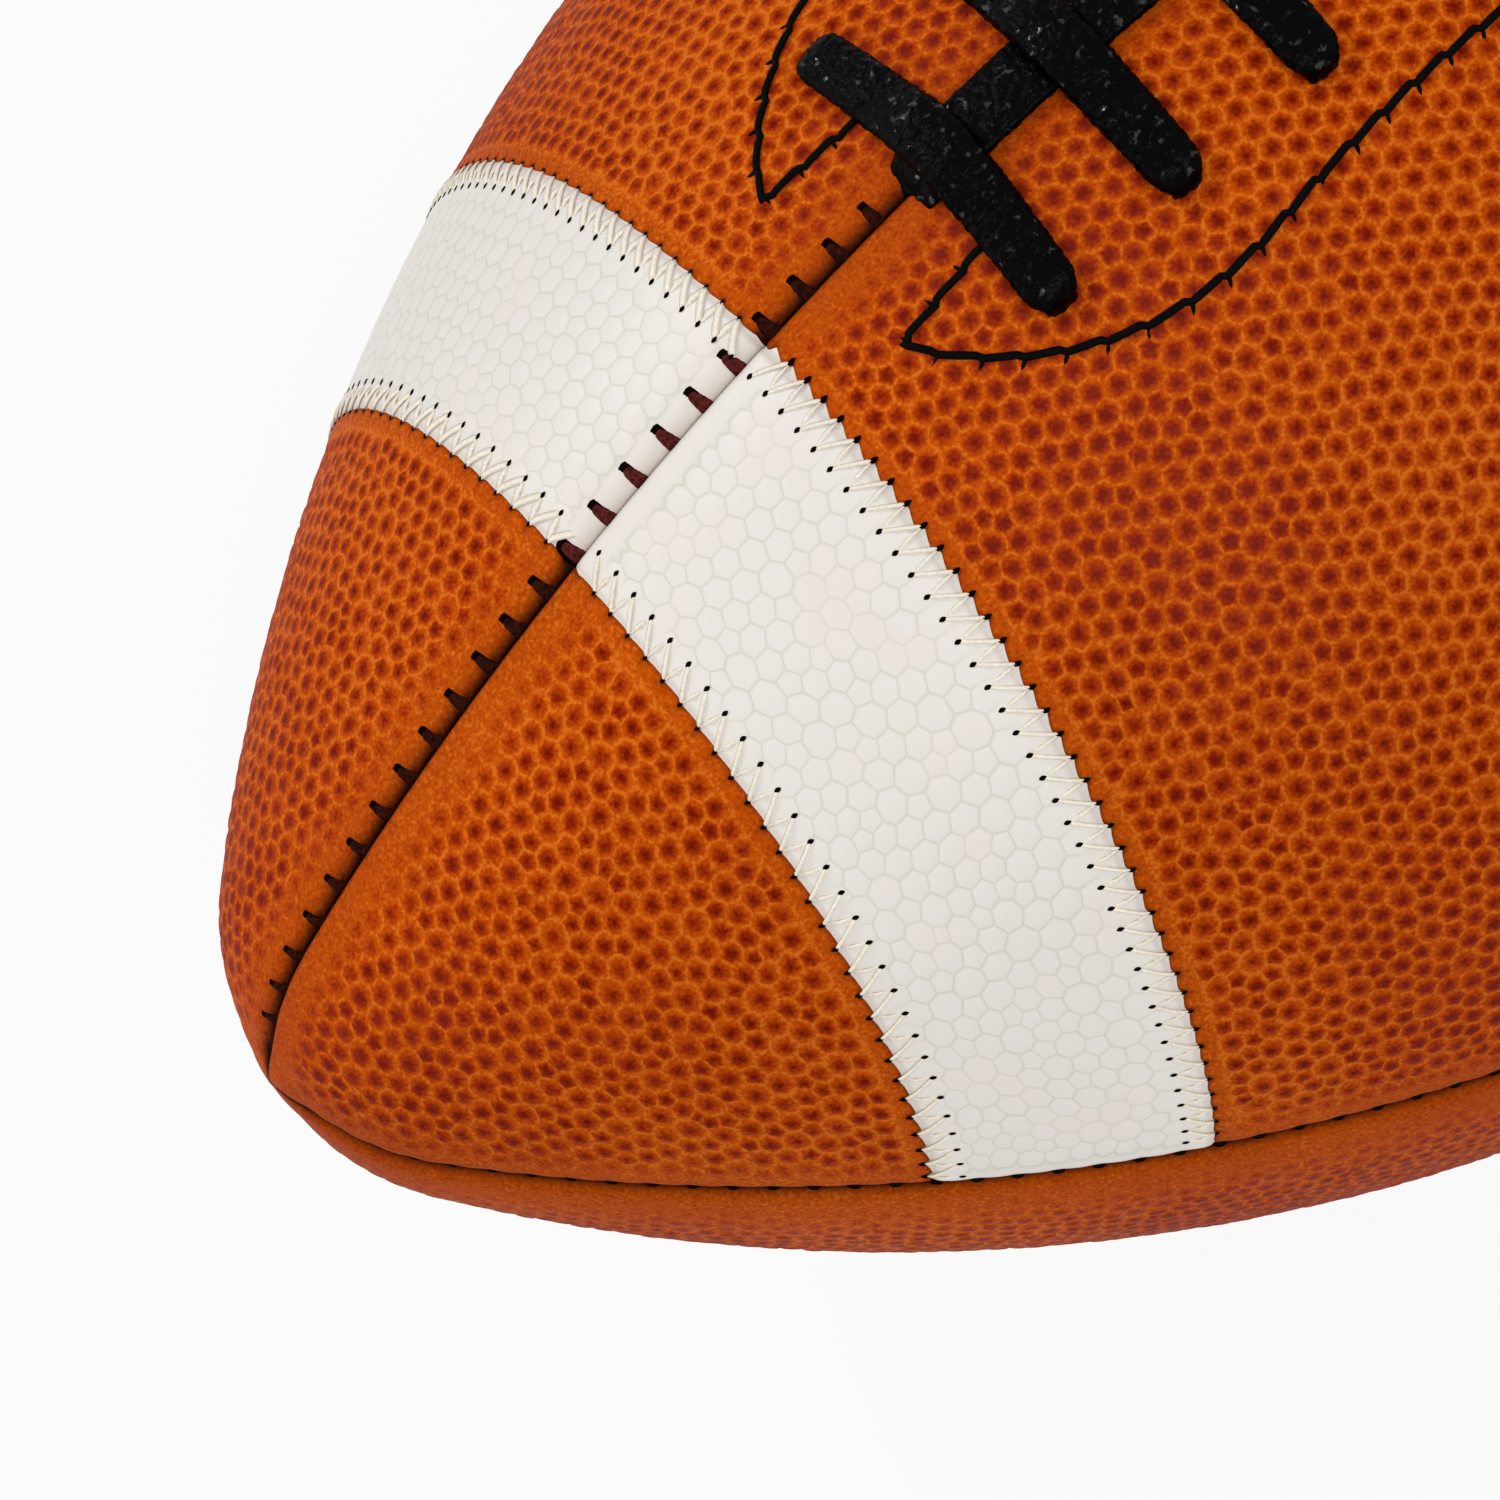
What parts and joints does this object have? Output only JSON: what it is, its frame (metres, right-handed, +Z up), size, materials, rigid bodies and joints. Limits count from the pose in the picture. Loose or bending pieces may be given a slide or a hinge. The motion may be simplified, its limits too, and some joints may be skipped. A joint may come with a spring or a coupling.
{
  "type": "american football",
  "caption": "Prolate ball of pebbled tan leather panels with white end stripes, black crossbar lacing and stitched seams over an air bladder.",
  "frame": {"origin": "on the floor below the ball's middle, with the ball lying on its belly seam", "axes": "+X along the long axis, away from the end that the picture shows; +Z up through the middle of the lacing; +Y towards the far laced panel"},
  "size_m": [0.2856, 0.1698, 0.1738],
  "materials": {
    "tan_leather": "pebbled cowhide, satin",
    "lining_cloth": "woven cotton, matt",
    "white_stripe": "pebbled white composite leather, satin",
    "cream_thread": "twisted nylon thread",
    "brown_thread": "waxed heavy thread, dark brown",
    "backing_cloth": "rubberised canvas, matt",
    "black_thread": "waxed black thread",
    "black_lace": "black pebbled composite lace, glossy",
    "rubber": "butyl rubber, matt"
  },
  "bodies": {
    "root": {"laced_panel_near": "tan_leather", "laced_panel_far": "tan_leather", "plain_panel_near": "tan_leather", "plain_panel_far": "tan_leather", "laced_lining_near": "lining_cloth", "laced_lining_far": "lining_cloth", "plain_lining_near": "lining_cloth", "plain_lining_far": "lining_cloth", "nose_stripe_near": "white_stripe", "nose_stripe_far": "white_stripe", "tail_stripe_near": "white_stripe", "tail_stripe_far": "white_stripe", "nose_zigzag_near": "cream_thread", "nose_zigzag_far": "cream_thread", "tail_zigzag_near": "cream_thread", "tail_zigzag_far": "cream_thread", "top_seam_thread_nose": "brown_thread", "top_seam_thread_tail": "brown_thread", "near_seam_thread": "brown_thread", "far_seam_thread": "brown_thread", "belly_seam_thread": "brown_thread", "lace_patch_near": "backing_cloth", "lace_patch_far": "backing_cloth", "lace_outline_near": "black_thread", "lace_outline_far": "black_thread", "lace": "black_lace", "lace_guard": "backing_cloth", "bladder": "rubber", "valve_collar": "rubber", "valve_plug": "rubber"}
  },
  "joints": []
}
